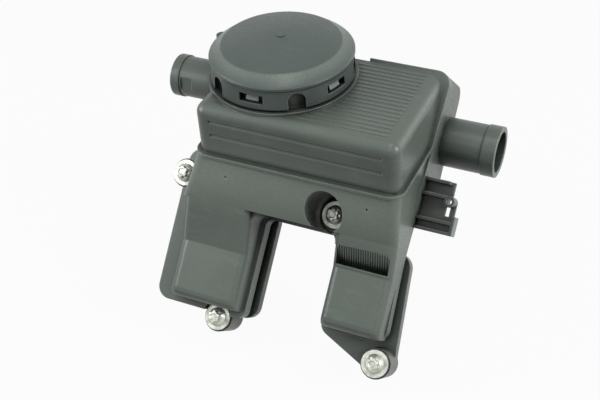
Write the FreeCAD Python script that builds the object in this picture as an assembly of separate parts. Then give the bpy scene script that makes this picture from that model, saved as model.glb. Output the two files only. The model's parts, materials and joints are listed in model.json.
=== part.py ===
import FreeCAD, Part
import math
import os
from FreeCAD import Placement, Rotation, Vector

# Crankcase oil separator, in millimetres.
# Row frame: +Z along the valve cap's axis, +X towards the clip bracket, +Y towards the engine.
# The origin is where the centre bolt's axis crosses the mounting plane.
# Leg frame: x as the row's X, y into the engine, z up along the weld plane, which lies at y = 0.
# Cap frame: parallel to the row frame, origin on the cap axis at the level of the box's top.

# General moulding sizes
TILT = 42.0                 # lean of the weld plane, back from the cap axis
WALL = 2.6
FLANGE_T = 4.0
CUT_OVER = 1.0              # how far a cutting solid runs past the face it opens
CAP_FORWARD = 28.0          # cap axis at the box's top, in front of the weld plane
MOUNT_Y = 18.0              # mounting plane, behind the weld plane
MOUNT_PLATE_T = 6.0

# Box with the ribbed top
BOX_LEFT = -38.4
BOX_RIGHT = 94.7
BOX_FRONT = -50.1
BOX_HEIGHT = 33.8
BOX_REACH = 60.0            # runs back past the weld plane, where it is cut off
BOX_ROUND = 7.0
GROOVE_LEVELS = (-10.1, -20.0)
GROOVE_W = 2.8
GROOVE_DEPTH = 1.2
GROOVE_FLOOR = 0.6          # flat bottom above the slope
GROOVE_INSET = 10.0
RIB_PITCH = 4.0
RIB_W = 1.5
RIB_H = 0.25
RIB_INSET = 10.0
RIB_COUNT = 18
RIB_FIRST_Y = -41.0

# Shoulder under the box and the two legs, in the leg frame
LEDGE = 1.5                 # the shoulder stands this far out past the box
RIDGE_LIP_H = 2.2           # lip round the shoulder's upper edge
RIDGE_LIP_OUT = 1.4
SHOULDER_END = -88.0
SLOPE_LEFT = 23.2           # front face against the weld plane
SLOPE_RIGHT = 31.2
PAN_ROUND = 6.0
WEB_R = 7.0                 # hollow corner where a leg meets the shoulder's lower edge
MARKS = ((-17.5, -71.0), (76.5, -70.2))     # ejector pin marks on the shoulder's front
MARK_R = 0.6
MARK_DEPTH = 1.4
LEG_DEPTH = 20.0
LEFT_LEG_LEFT = -47.0
LEFT_LEG_RIGHT = 0.0
LEFT_LEG_BEND = -116.0
LEFT_LEG_END = -153.0
SHOULDER_FLARE = -48.4      # left wall at the shoulder's lower end
LEFT_LEG_TOP = -45.8        # left wall at the leg's upper end
RIGHT_LEG_LEFT = 57.0
RIGHT_LEG_END = -146.0
BAND_TOP = -94.5            # recessed ribbed band across the right leg
BAND_BOTTOM = -106.5
BAND_FLOOR = 14.5
BAND_FRAME = 2.6
BAND_RIB_COUNT = 22
BAND_RIB_W = 0.7
BAND_RIB_H = 0.6
LIP_H = 0.9
LIP_W = 2.0

# Weld flange outline
FLANGE_TOP = 24.0
FLANGE_STEP = 2.2
FLANGE_STEP_X = 45.0
FLANGE_RIGHT_TOP = 99.4
FLANGE_RIGHT_KNEE = 95.6
FLANGE_KNEE_Z = -96.0
FLANGE_RIGHT_END = 97.6
FLANGE_LEFT = -62.5
FLANGE_LEFT_TOP = -43.0
FLANGE_LEFT_STEP_Z = -56.0
FLANGE_LIP = 2.6
FLANGE_CORNER = 9.0

# Valve tower, cap and valve
CAP_R = 45.3
CAP_RIM_Z = 19.0
CAP_SLOPE_W = 7.8           # sloping ring between the rim and the raised disc
CAP_DISC_R = CAP_R - CAP_SLOPE_W
CAP_DISC_Z = 23.9
CAP_DOME = 4.2
CAP_WALL = 2.0
CAP_RIM_OUT = 0.9           # rim past the skirt's upper end
CAP_DRAFT = 0.9             # skirt's foot past its upper end
CAP_SKIRT_R = CAP_R - CAP_RIM_OUT
CAP_SKIRT_GAP = 1.4
CAP_NUB_R = 2.2
CAP_NUB_H = 0.6
CAP_TAB_ANGLE = 175.0       # small locating tab on the rim
CAP_TAB_R = 3.8
CAP_TAB_OUT = 2.2
BASE_RING_OUT = 1.7
BASE_RING_R = CAP_R + BASE_RING_OUT
BASE_RING_H = 2.0
TOWER_TOP = 14.0
TOWER_WALL = 3.0
TOWER_FLOOR_T = 1.6
CATCH_COUNT = 5
CATCH_PHASE = -90.0
WINDOW_ANGLE = 20.0
WINDOW_LOW = 7.0
WINDOW_HIGH = 12.6
CATCH_ANGLE = 11.5
CATCH_CLEAR = 0.6
CATCH_PROUD = 2.2
ARCH_R = 5.4
ARCH_TOP = 13.8
SEAT_NARROW = 1.0           # seat tube against the stub, on the radius
DUCT_R = 13.2
DUCT_BORE_R = 10.6
DIAPHRAGM_T = 1.0
BEAD_W = 2.6
BEAD_GAP = 0.1
ROLL_R = 4.5
ROLL_IN = 15.3              # middle of the rolled fold, in from the rim
ROLL_CENTRE_R = CAP_R - ROLL_IN
PLATE_CLEAR = 1.5
VALVE_PLATE_R = ROLL_CENTRE_R - ROLL_R - PLATE_CLEAR
VALVE_PLATE_T = 2.4
VALVE_TRAVEL = 4.0
STOP_GAP = 0.3              # left between plate and seat when the valve is shut
SPRING_CLEAR = 4.8          # coil round the seat tube
SPRING_R = DUCT_R - SEAT_NARROW + SPRING_CLEAR
SPRING_WIRE_R = 0.7
SPRING_TURNS = 4
SPRING_GAP = 0.1
PORT_COUNT = 8
PORT_R = 4.5
PORT_OUT = 3.0              # port centres, out from the valve plate's edge
PORT_PCD_R = VALVE_PLATE_R + PORT_OUT

# Hose stubs
LEFT_STUB_Y = 0.0
LEFT_STUB_Z = -15.6
LEFT_STUB_END = -76.6
STUB_BEAD_H = 0.6
LEFT_BEAD_L = 6.0
NOTCH_L = 8.0
NOTCH_W = 10.0
NOTCH_DEPTH = 0.9
NOTCH_BACK = 7.5
NOTCH_TURN = 8.0
RIGHT_STUB_Y = 32.5         # behind the weld plane
RIGHT_STUB_Z = -14.6
RIGHT_STUB_R = 16.0
RIGHT_STUB_BORE_R = 13.4
RIGHT_STUB_END = 132.0
RIGHT_BEAD_L = 9.0

# Rear shell
TRAY_LEFT = -38.0
TRAY_RIGHT = 95.8
TRAY_TOP = 22.0
TRAY_BOTTOM = -53.0
TRAY_DEPTH = 51.0
TRAY_ROUND = 9.0
TRAY_LEDGE = 4.0            # rear flange stands this far inside the front opening
LEG_TRAY_INSET = 1.0
PLATE_ROUND = 9.0
LEFT_PLATE_LEFT = -58.0
LEFT_PLATE_RIGHT = 4.6
LEFT_PLATE_TOP = -84.0
LEFT_PLATE_END = -158.5
RIGHT_PLATE_LEFT = 49.0
RIGHT_PLATE_TOP = -92.0
RIGHT_PLATE_RIGHT = 97.8
RIGHT_PLATE_SLANT = 25.0    # lower edge, running down to the bolt
PORT_INSET = 16.0
PORT_ROUND = 6.0
GASKET_W = 4.0
GASKET_OUT = 3.0
GROOVE_Y = 2.0
GASKET_PROUD = 0.8
GASKET_GAP = 0.15

# Bolts, washers and sleeves
BOLTS = {
    "upper_left": (-64.0, -74.0),
    "centre": (46.0, -77.8),
    "lower_left": (-16.5, -160.8),
    "lower_right": (93.8, -161.4),
}
BOSS_R = 9.8
POCKET_R = 12.4
BOSS_CLEAR = 0.2
POCKET_SHIFT = 3.0          # pocket centre, right of the centre bolt
SLEEVE_R = 5.0
SLEEVE_BORE_R = 3.3
SLEEVE_PROUD = 0.5
SLEEVE_GAP = 0.05
WASHER_R = 8.7
WASHER_T = 1.6
BOLT_GAP = 0.1
SHANK_R = 2.6
THREAD_R = 3.0
THREAD_L = 16.0
HEAD_FLANGE_R = 6.2
HEAD_FLANGE_T = 1.4
HEAD_R = 4.1
HEAD_H = 6.2
HEAD_LOBES = 6
LOBE_CUT_R = 1.1
HEAD_DISH_R = 2.4
HEAD_DISH = 0.5

# Clip bracket on the right
CLIP_TOP = -43.0
CLIP_RIB = -52.0
CLIP_SHELF = -67.5
CLIP_BOTTOM = -74.0
CLIP_T = 1.9
CLIP_WEB_Y = 8.0
CLIP_END = 115.0
CLIP_SHELF_END = 121.0
EYELET_R = 3.4
EYELET_BORE_R = 1.6
EYELET_Z = -53.4
CLIP_HOLE_W = 2.6
CLIP_HOLE_H = 5.6
CLIP_HOLE_Z = -59.6

# Baffle plate
BAFFLE_T = 2.0
BAFFLE_GAP = 0.6
BAFFLE_HOLE_R = 3.0
BAFFLE_PITCH = 12.0

ORIGIN = Vector(BOLTS["centre"][0], MOUNT_Y, BOLTS["centre"][1])
LEAN = Rotation(Vector(1, 0, 0), -TILT)
LEG_FRAME = Placement(LEAN.multVec(ORIGIN.negative()), LEAN)
CAP_FRAME = Placement(LEAN.multVec(Vector(0, -CAP_FORWARD, 0) - ORIGIN), Rotation())


def in_leg(shape):
    """Carry a solid from the leg frame to the row frame."""
    return shape.transformed(LEG_FRAME.toMatrix())


def in_cap(shape):
    """Carry a solid from the cap frame to the row frame."""
    return shape.transformed(CAP_FRAME.toMatrix())


def fuse(shapes):
    return shapes[0].multiFuse(shapes[1:]).removeSplitter()


def cut(shape, tools):
    return shape.cut(tools)


def rounded_wire(points, radii):
    """Closed outline through corner points, each corner rounded by its own radius."""
    joints = []
    for i, corner in enumerate(points):
        before = (points[i - 1] - corner).normalize()
        after = (points[(i + 1) % len(points)] - corner).normalize()
        if radii[i] <= 0:
            joints.append((corner, None, corner))
            continue
        half = before.getAngle(after) / 2
        run = radii[i] / math.tan(half)
        middle = (before + after).normalize() * (radii[i] / math.sin(half) - radii[i])
        joints.append((corner + before * run, corner + middle, corner + after * run))
    edges = []
    for i, (start, middle, end) in enumerate(joints):
        if middle is not None:
            edges.append(Part.Arc(start, middle, end).toShape())
        edges.append(Part.LineSegment(end, joints[(i + 1) % len(joints)][0]).toShape())
    return Part.Wire(edges)


def leg_plate(corners, radii, y_from, y_to):
    """Plate parallel to the weld plane, from an outline of (x, z) corners."""
    wire = rounded_wire([Vector(x, y_from, z) for x, z in corners], radii)
    return Part.Face(wire).extrude(Vector(0, y_to - y_from, 0))


def leg_pin(x, z, radius, y_from, y_to):
    """Round bar along the leg frame's y axis."""
    return Part.makeCylinder(radius, y_to - y_from, Vector(x, y_from, z), Vector(0, 1, 0))


def pan(stations, corner, mouth, side):
    """Loft of U-shaped sections along z: each station is (z, left, right, depth left, depth right).

    side is -1 for a pan in front of the weld plane and +1 for one behind it, and mouth is the y of its
    open side.
    """
    wires = []
    for z, left, right, depth_left, depth_right in stations:
        points = [Vector(left, mouth, z), Vector(left, side * depth_left, z),
                  Vector(right, side * depth_right, z), Vector(right, mouth, z)]
        wires.append(rounded_wire(points, [0, corner, corner, 0]))
    return Part.makeLoft(wires, True, True)


def rounded_end(z_end, sign, radius, left, right, depth, steps=4):
    """Stations that round a pan's closed end off over a quarter circle."""
    stations = []
    for i in range(steps + 1):
        angle = math.radians(90.0 * i / steps)
        z = z_end - sign * radius * (1 - math.sin(angle))
        level = depth - radius * (1 - math.cos(angle))
        stations.append((z, left, right, level, level))
    return stations


def ridge_depth():
    """Depth and height of the shoulder's upper front edge in the leg frame."""
    lean = math.radians(TILT)
    y = BOX_FRONT - LEDGE
    depth = CAP_FORWARD - y * math.cos(lean) - BOX_HEIGHT * math.sin(lean)
    z = y * math.sin(lean) - BOX_HEIGHT * math.cos(lean)
    return depth, z


def box_foot():
    """Height in the leg frame at which the box's lower face meets the weld plane."""
    lean = math.radians(TILT)
    y = (CAP_FORWARD - BOX_HEIGHT * math.sin(lean)) / math.cos(lean)
    return y * math.sin(lean) - BOX_HEIGHT * math.cos(lean)


def shoulder_depth(z, slope):
    depth, ridge_z = ridge_depth()
    return depth + (z - ridge_z) * math.tan(math.radians(slope))


def shoulder_left(z):
    """Left wall of the shoulder: it flares outwards below the ridge."""
    ridge_z = ridge_depth()[1]
    share = max(0, (z - ridge_z) / (SHOULDER_END - ridge_z))
    return (BOX_LEFT - LEDGE) + share * (SHOULDER_FLARE - BOX_LEFT + LEDGE)


def shoulder_front(x, z):
    """Depth of the shoulder's front face at x: it twists evenly from left to right."""
    left = shoulder_left(z)
    share = (x - left) / (BOX_RIGHT + LEDGE - left)
    return (1 - share) * shoulder_depth(z, SLOPE_LEFT) + share * shoulder_depth(z, SLOPE_RIGHT)


def box_solid(inset):
    """The box, or its inside when inset is the wall, cut off at the weld plane."""
    block = Part.makeBox(BOX_RIGHT - BOX_LEFT - 2 * inset, BOX_REACH - BOX_FRONT - inset, BOX_HEIGHT,
                         Vector(BOX_LEFT + inset, BOX_FRONT + inset, -BOX_HEIGHT - inset))
    top = -inset
    edges = []
    for edge in block.Edges:
        middle = edge.CenterOfMass
        upright = abs(edge.tangentAt(0).z) > 0.5 and middle.y < 0
        rim = abs(middle.z - top) < 0.01 and middle.y < BOX_REACH - CUT_OVER
        if upright or rim:
            edges.append(edge)
    block = block.makeFillet(BOX_ROUND - inset, edges)
    return in_cap(block)


def shoulder_solid(inset, mouth):
    """The shoulder between the box and the legs, or its inside."""
    ridge_z = ridge_depth()[1]
    stations = []
    for z in (box_foot() + CUT_OVER, ridge_z, SHOULDER_END + inset):
        stations.append((z, shoulder_left(z) + inset, BOX_RIGHT + LEDGE - inset,
                         shoulder_depth(z, SLOPE_LEFT) - inset, shoulder_depth(z, SLOPE_RIGHT) - inset))
    solid = in_leg(pan(stations, PAN_ROUND - inset, mouth, -1))
    span = 4 * BOX_REACH
    above = Part.makeBox(span, span, span, Vector(-span / 2, -span / 2, -BOX_HEIGHT))
    return cut(solid, [in_cap(above)])


def leg_start(inset):
    """Height at which a leg joins the shoulder: the hollow runs up through the shoulder's end wall."""
    return SHOULDER_END + (inset + CUT_OVER if inset else 0)


def ridge_lip():
    """Raised lip round the shoulder's upper edge, under the box."""
    out = LEDGE + RIDGE_LIP_OUT
    plate = Part.makeBox(BOX_RIGHT - BOX_LEFT + 2 * out, BOX_REACH - BOX_FRONT + out, RIDGE_LIP_H,
                         Vector(BOX_LEFT - out, BOX_FRONT - out, -BOX_HEIGHT - RIDGE_LIP_H))
    corners = []
    for edge in plate.Edges:
        if abs(edge.tangentAt(0).z) > 0.5 and edge.CenterOfMass.y < 0:
            corners.append(edge)
    return in_cap(plate.makeFillet(BOX_ROUND + out, corners))


def corner_web(x, side):
    """Hollow corner between a leg and the shoulder's lower edge; side is the way the gap lies."""
    depth = shoulder_front(x, SHOULDER_END) - PAN_ROUND
    left, right = sorted((x - side * CUT_OVER, x + side * WEB_R))
    corners = [(left, SHOULDER_END + CUT_OVER), (right, SHOULDER_END + CUT_OVER),
               (right, SHOULDER_END - WEB_R), (left, SHOULDER_END - WEB_R)]
    block = leg_plate(corners, [0] * 4, -depth, 0)
    return in_leg(block.cut(leg_pin(x + side * WEB_R, SHOULDER_END - WEB_R, WEB_R, -depth, 0)))


def left_leg_solid(inset, mouth):
    right = LEFT_LEG_RIGHT - inset
    left = LEFT_LEG_LEFT + inset
    depth = LEG_DEPTH - inset
    front_left = shoulder_front(LEFT_LEG_TOP, SHOULDER_END) - inset
    front_right = shoulder_front(LEFT_LEG_RIGHT, SHOULDER_END) - inset
    stations = [(leg_start(inset), LEFT_LEG_TOP + inset, right, front_left, front_right),
                (LEFT_LEG_BEND, left, right, depth, depth)]
    stations += rounded_end(LEFT_LEG_END + inset, -1, PAN_ROUND - inset, left, right, depth)
    return in_leg(pan(stations, PAN_ROUND - inset, mouth, -1))


def right_leg_solid(inset, mouth):
    left = RIGHT_LEG_LEFT + inset
    right = BOX_RIGHT + LEDGE - inset
    depth = LEG_DEPTH - inset
    stations = [(leg_start(inset), left, right, shoulder_front(RIGHT_LEG_LEFT, SHOULDER_END) - inset,
                 shoulder_front(BOX_RIGHT + LEDGE, SHOULDER_END) - inset)]
    if inset:
        floor = BAND_FLOOR - inset
        stations.append((BAND_TOP + inset, left, right, depth, depth))
        stations.append((BAND_BOTTOM, left, right, floor, floor))
        stations.append((BAND_BOTTOM - inset, left, right, floor, floor))
        stations.append((BAND_BOTTOM - 2 * inset, left, right, depth, depth))
    else:
        stations.append((BAND_BOTTOM, left, right, depth + LIP_H, depth + LIP_H))
        stations.append((BAND_BOTTOM - LIP_W, left, right, depth, depth))
    stations += rounded_end(RIGHT_LEG_END + inset, -1, PAN_ROUND - inset, left, right, depth)
    return in_leg(pan(stations, PAN_ROUND - inset, mouth, -1))


def band_recess():
    """Wedge cut across the right leg: it leaves the side walls as a frame and fine ribs on its floor."""
    left = RIGHT_LEG_LEFT + BAND_FRAME
    right = BOX_RIGHT + LEDGE - BAND_FRAME
    front = shoulder_front(left, BAND_TOP) + CUT_OVER
    profile = [Vector(left, -front, BAND_TOP + CUT_OVER), Vector(left, -BAND_FLOOR, BAND_BOTTOM),
               Vector(left, -front, BAND_BOTTOM)]
    wedge = Part.Face(Part.makePolygon(profile + profile[:1])).extrude(Vector(right - left, 0, 0))
    ribs = []
    pitch = (right - left) / BAND_RIB_COUNT
    for i in range(BAND_RIB_COUNT):
        x = left + (i + 0.5) * pitch - BAND_RIB_W / 2
        lift = Vector(0, -BAND_RIB_H, 0)
        foot = [profile[0] + Vector(x - left, CUT_OVER, 0), profile[1] + Vector(x - left, CUT_OVER, 0),
                profile[1] + Vector(x - left, 0, 0) + lift, profile[0] + Vector(x - left, 0, 0) + lift]
        ribs.append(Part.Face(Part.makePolygon(foot + foot[:1])).extrude(Vector(BAND_RIB_W, 0, 0)))
    return in_leg(cut(wedge, ribs))


def flange_outline():
    """Corners and radii of the weld flange, clockwise from its upper right corner."""
    low_right = RIGHT_LEG_END - FLANGE_LIP
    low_left = LEFT_LEG_END - 2 * FLANGE_LIP
    corners = [
        (FLANGE_RIGHT_TOP, FLANGE_TOP, FLANGE_CORNER),
        (FLANGE_RIGHT_KNEE, FLANGE_KNEE_Z, 0),
        (FLANGE_RIGHT_END, low_right, FLANGE_CORNER),
        (RIGHT_LEG_LEFT - FLANGE_LIP, low_right, PAN_ROUND),
        (RIGHT_LEG_LEFT - FLANGE_LIP, SHOULDER_END - FLANGE_LIP, WEB_R - FLANGE_LIP),
        (LEFT_LEG_RIGHT + FLANGE_LIP, SHOULDER_END - FLANGE_LIP, WEB_R - FLANGE_LIP),
        (LEFT_LEG_RIGHT + FLANGE_LIP, low_left, PAN_ROUND),
        (FLANGE_LEFT, low_left, FLANGE_CORNER),
        (FLANGE_LEFT, FLANGE_LEFT_STEP_Z, FLANGE_CORNER),
        (FLANGE_LEFT_TOP, FLANGE_LEFT_STEP_Z, FLANGE_LIP),
        (FLANGE_LEFT_TOP, FLANGE_TOP - FLANGE_STEP, FLANGE_CORNER),
        (FLANGE_STEP_X, FLANGE_TOP - FLANGE_STEP, 0),
        (FLANGE_STEP_X, FLANGE_TOP, 0),
    ]
    return [(x, z) for x, z, r in corners], [r for x, z, r in corners]


def behind_flange_front():
    """Everything on the engine side of the front flange's front face."""
    span = 4 * BOX_REACH
    return in_leg(Part.makeBox(span, span, span, Vector(-span / 2, -FLANGE_T, -span / 2)))


def ring(radius_out, radius_in, z_from, z_to):
    """Ring about the cap axis, in the cap frame."""
    outer = Part.makeCylinder(radius_out, z_to - z_from, Vector(0, 0, z_from))
    inner = Part.makeCylinder(radius_in, z_to - z_from, Vector(0, 0, z_from))
    return outer.cut(inner)


def tower_radius():
    return CAP_SKIRT_R - CAP_WALL - CAP_SKIRT_GAP


def part_turn(face, middle, width):
    """Section swept about the cap axis, width degrees wide."""
    solid = face.revolve(Vector(0, 0, 0), Vector(0, 0, 1), width)
    solid.rotate(Vector(0, 0, 0), Vector(0, 0, 1), middle - width / 2)
    return solid


def sector(radius_out, radius_in, z_from, z_to, middle, width):
    """Block between two radii, width degrees wide, about the cap axis."""
    face = Part.Face(Part.makePolygon([Vector(radius_in, 0, z_from), Vector(radius_out, 0, z_from),
                                       Vector(radius_out, 0, z_to), Vector(radius_in, 0, z_to),
                                       Vector(radius_in, 0, z_from)]))
    return part_turn(face, middle, width)


def catch_angles():
    return [CATCH_PHASE + i * 360.0 / CATCH_COUNT for i in range(CATCH_COUNT)]


def catch_ramp(angle):
    """Catch for one cap window: its face leans out towards its foot, so the cap's skirt rides over it."""
    root = tower_radius() - TOWER_WALL / 2
    low = WINDOW_LOW + CATCH_CLEAR
    high = WINDOW_HIGH - CATCH_CLEAR
    profile = [Vector(root, 0, low), Vector(tower_radius() + CATCH_PROUD, 0, low),
               Vector(tower_radius(), 0, high), Vector(root, 0, high)]
    return part_turn(Part.Face(Part.makePolygon(profile + profile[:1])), angle, CATCH_ANGLE)


def tower_solids():
    """Floor disc, base ring, tower wall and cap catches on the box's top."""
    radius = tower_radius()
    parts = [Part.makeCylinder(BASE_RING_R, TOWER_FLOOR_T, Vector(0, 0, -TOWER_FLOOR_T)),
             ring(BASE_RING_R, radius - TOWER_WALL, -TOWER_FLOOR_T, BASE_RING_H),
             ring(radius, radius - TOWER_WALL, 0, TOWER_TOP)]
    for angle in catch_angles():
        parts.append(catch_ramp(angle))
    return [in_cap(part) for part in parts]


def duct_solids(radius, over):
    """Elbow inside the box: seat tube and the stub it turns into; over lengthens both ends of a bore."""
    stub_end = LEFT_STUB_END - over
    tube_l = seat_top() + over - LEFT_STUB_Z
    tube = Part.makeCylinder(radius - SEAT_NARROW, tube_l, Vector(0, LEFT_STUB_Y, LEFT_STUB_Z))
    place = Vector(stub_end, LEFT_STUB_Y, LEFT_STUB_Z)
    stub = Part.makeCylinder(radius, radius - stub_end, place, Vector(1, 0, 0))
    return [in_cap(tube), in_cap(stub)]


def stub_bead():
    place = Vector(LEFT_STUB_END, LEFT_STUB_Y, LEFT_STUB_Z)
    return in_cap(Part.makeCylinder(DUCT_R + STUB_BEAD_H, LEFT_BEAD_L, place, Vector(1, 0, 0)))


def stub_notch():
    """Flat rectangular recess on the front of the left stub."""
    flat = DUCT_R - NOTCH_DEPTH
    corner = Vector(LEFT_STUB_END + NOTCH_BACK, -flat - DUCT_R, -NOTCH_W / 2)
    block = Part.makeBox(NOTCH_L, DUCT_R, NOTCH_W, corner)
    block.rotate(Vector(0, 0, 0), Vector(1, 0, 0), -NOTCH_TURN)
    block.translate(Vector(0, LEFT_STUB_Y, LEFT_STUB_Z))
    return in_cap(block)


def top_ribs():
    """Fine ribs across the box's top, broken by the valve tower's base ring."""
    left = BOX_LEFT + RIB_INSET
    length = BOX_RIGHT - RIB_INSET - left
    ribs = []
    for i in range(RIB_COUNT):
        y = RIB_FIRST_Y + i * RIB_PITCH
        ribs.append(Part.makeBox(length, RIB_W, RIB_H + WALL / 2, Vector(left, y, -WALL / 2)))
    keep_out = Part.makeCylinder(tower_radius(), WALL * 2, Vector(0, 0, -WALL))
    return [in_cap(rib.cut(keep_out)) for rib in ribs]


def front_grooves():
    """Two long grooves across the box's front face, with a flat upper side and a sloping lower side."""
    left = BOX_LEFT + GROOVE_INSET
    length = BOX_RIGHT - GROOVE_INSET - left
    grooves = []
    for level in GROOVE_LEVELS:
        high = level + GROOVE_W / 2
        low = level - GROOVE_W / 2
        profile = [Vector(left, BOX_FRONT - CUT_OVER, high), Vector(left, BOX_FRONT + GROOVE_DEPTH, high),
                   Vector(left, BOX_FRONT + GROOVE_DEPTH, high - GROOVE_FLOOR),
                   Vector(left, BOX_FRONT, low), Vector(left, BOX_FRONT - CUT_OVER, low)]
        section = Part.Face(Part.makePolygon(profile + profile[:1]))
        grooves.append(in_cap(section.extrude(Vector(length, 0, 0))))
    return grooves


def gas_ports():
    """Holes in the box's top, inside the tower, that lead gas to the valve."""
    holes = []
    for i in range(PORT_COUNT):
        angle = math.radians(i * 360.0 / PORT_COUNT)
        place = Vector(PORT_PCD_R * math.cos(angle), PORT_PCD_R * math.sin(angle), -2 * WALL)
        holes.append(in_cap(Part.makeCylinder(PORT_R, 2 * WALL + RIB_H + CUT_OVER, place)))
    return holes


def front_shell():
    corners, radii = flange_outline()
    outer = fuse([box_solid(0), ridge_lip(), shoulder_solid(0, 0), left_leg_solid(0, 0),
                  right_leg_solid(0, 0), corner_web(LEFT_LEG_RIGHT, 1), corner_web(RIGHT_LEG_LEFT, -1)])
    outer = cut(outer, [behind_flange_front()])
    flange = in_leg(leg_plate(corners, radii, -FLANGE_T, 0))
    outer = fuse([outer, flange, stub_bead()] + tower_solids() + duct_solids(DUCT_R, 0) + top_ribs())
    inner = fuse([box_solid(WALL), shoulder_solid(WALL, CUT_OVER), left_leg_solid(WALL, CUT_OVER),
                  right_leg_solid(WALL, CUT_OVER)])
    x, z = BOLTS["centre"]
    reach = shoulder_front(x, z) + POCKET_R
    x += POCKET_SHIFT
    well = in_leg(leg_pin(x, z, POCKET_R + WALL, -reach, CUT_OVER))
    inner = cut(inner, [well] + duct_solids(DUCT_R, 0))
    pockets = [in_leg(leg_pin(x, z, POCKET_R, -reach, CUT_OVER))]
    for name in ("upper_left", "lower_left"):
        x, z = BOLTS[name]
        pockets.append(in_leg(leg_pin(x, z, BOSS_R + BOSS_CLEAR, -FLANGE_T - CUT_OVER, CUT_OVER)))
    for x, z in MARKS:
        depth = shoulder_front(x, z)
        pockets.append(in_leg(leg_pin(x, z, MARK_R, -depth - CUT_OVER, MARK_DEPTH - depth)))
    tools = [inner, band_recess(), stub_notch()] + pockets + duct_solids(DUCT_BORE_R, CUT_OVER)
    return cut(outer, tools + front_grooves() + gas_ports())


def cap_profile():
    """Half section of the cap: drafted skirt, sloping ring and domed disc, cone-shaped inside."""
    low = BASE_RING_H + CAP_SKIRT_GAP
    flare_low = ARCH_TOP + ARCH_R / 4
    flare_high = ARCH_TOP + ARCH_R / 2
    bevel = CAP_WALL / 2
    inside = CAP_SKIRT_R - CAP_WALL
    top_in = CAP_DISC_Z - CAP_WALL
    half_rise = 0.75 * CAP_DOME
    points = [Vector(0, 0, top_in + CAP_DOME), Vector(CAP_DISC_R / 2, 0, top_in + half_rise),
              Vector(CAP_DISC_R, 0, top_in), Vector(inside, 0, CAP_RIM_Z - CAP_WALL), Vector(inside, 0, low),
              Vector(CAP_SKIRT_R + CAP_DRAFT, 0, low), Vector(CAP_SKIRT_R, 0, flare_low),
              Vector(CAP_R, 0, flare_high), Vector(CAP_R, 0, CAP_RIM_Z - bevel),
              Vector(CAP_R - bevel, 0, CAP_RIM_Z), Vector(CAP_DISC_R, 0, CAP_DISC_Z)]
    top = Vector(0, 0, CAP_DISC_Z + CAP_DOME)
    middle = Vector(CAP_DISC_R / 2, 0, CAP_DISC_Z + half_rise)
    edges = [Part.LineSegment(a, b).toShape() for a, b in zip(points, points[1:])]
    edges.append(Part.Arc(points[-1], middle, top).toShape())
    edges.append(Part.LineSegment(top, points[0]).toShape())
    return Part.Face(Part.Wire(edges))


def about_cap(face):
    return face.revolve(Vector(0, 0, 0), Vector(0, 0, 1), 360)


def valve_cap():
    """Clipped cap: hat section, catch windows and round-topped arches between them."""
    body = about_cap(cap_profile())
    stop = ring(tower_radius(), tower_radius() - BEAD_W, TOWER_TOP + BEAD_W, CAP_RIM_Z + CAP_WALL * 0.7)
    nub_low = CAP_DISC_Z + CAP_DOME - CAP_WALL / 2
    nub = Part.makeCylinder(CAP_NUB_R, CAP_NUB_H + CAP_WALL / 2, Vector(0, 0, nub_low))
    turn = math.radians(CAP_TAB_ANGLE)
    tab_at = CAP_R + CAP_TAB_OUT - CAP_TAB_R
    tab_low = ARCH_TOP + ARCH_R / 2
    tab = Part.makeCylinder(CAP_TAB_R, CAP_RIM_Z - CAP_NUB_H - tab_low,
                            Vector(tab_at * math.cos(turn), tab_at * math.sin(turn), tab_low))
    body = fuse([body, stop, nub, tab])
    inside = tower_radius() + CAP_SKIRT_GAP / 2
    depth = CAP_R + CUT_OVER - inside
    tools = []
    for angle in catch_angles():
        tools.append(sector(CAP_R + CUT_OVER, inside, WINDOW_LOW, WINDOW_HIGH, angle, WINDOW_ANGLE))
        crown = Vector(inside, 0, ARCH_TOP - ARCH_R)
        arch = Part.makeBox(depth, 2 * ARCH_R, crown.z, Vector(inside, -ARCH_R, 0))
        arch = arch.fuse(Part.makeCylinder(ARCH_R, depth, crown, Vector(1, 0, 0)))
        arch.rotate(Vector(0, 0, 0), Vector(0, 0, 1), angle + 180.0 / CATCH_COUNT)
        tools.append(arch)
    return in_cap(cut(body, tools))


def diaphragm_level():
    """Underside of the diaphragm's flat parts."""
    return TOWER_TOP + (BEAD_W - DIAPHRAGM_T) / 2


def valve_plate_low():
    return diaphragm_level() - BEAD_GAP - VALVE_PLATE_T


def seat_top():
    """Top of the seat tube, a stop gap below the plate at the end of its travel."""
    return valve_plate_low() - VALVE_TRAVEL - STOP_GAP


def valve_diaphragm():
    """Rubber disc with a clamped bead at its rim and one rolled convolution."""
    low = diaphragm_level()
    high = low + DIAPHRAGM_T
    bead = tower_radius()
    parts = [
        Part.makeCylinder(bead - BEAD_W / 2, DIAPHRAGM_T, Vector(0, 0, low)),
        ring(bead, bead - BEAD_W, TOWER_TOP + BEAD_GAP / 2, TOWER_TOP + BEAD_W - BEAD_GAP),
    ]
    disc = fuse(parts)
    opening = ring(ROLL_CENTRE_R + ROLL_R, ROLL_CENTRE_R - ROLL_R, low, high)
    outer = Part.makeTorus(ROLL_CENTRE_R, ROLL_R + DIAPHRAGM_T / 2, Vector(0, 0, low))
    inner = Part.makeTorus(ROLL_CENTRE_R, ROLL_R - DIAPHRAGM_T / 2, Vector(0, 0, low))
    below = Part.makeCylinder(CAP_R, 2 * ROLL_R, Vector(0, 0, low - 2 * ROLL_R))
    roll = outer.cut(inner).cut(below)
    return in_cap(fuse([disc.cut(opening), roll]))


def valve_plate():
    """Disc under the diaphragm that closes on the seat."""
    plate = Part.makeCylinder(VALVE_PLATE_R, VALVE_PLATE_T, Vector(0, 0, valve_plate_low()))
    rims = [edge for edge in plate.Edges if len(edge.Vertexes) == 1]
    return in_cap(plate.makeFillet(VALVE_PLATE_T / 4, rims))


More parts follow.
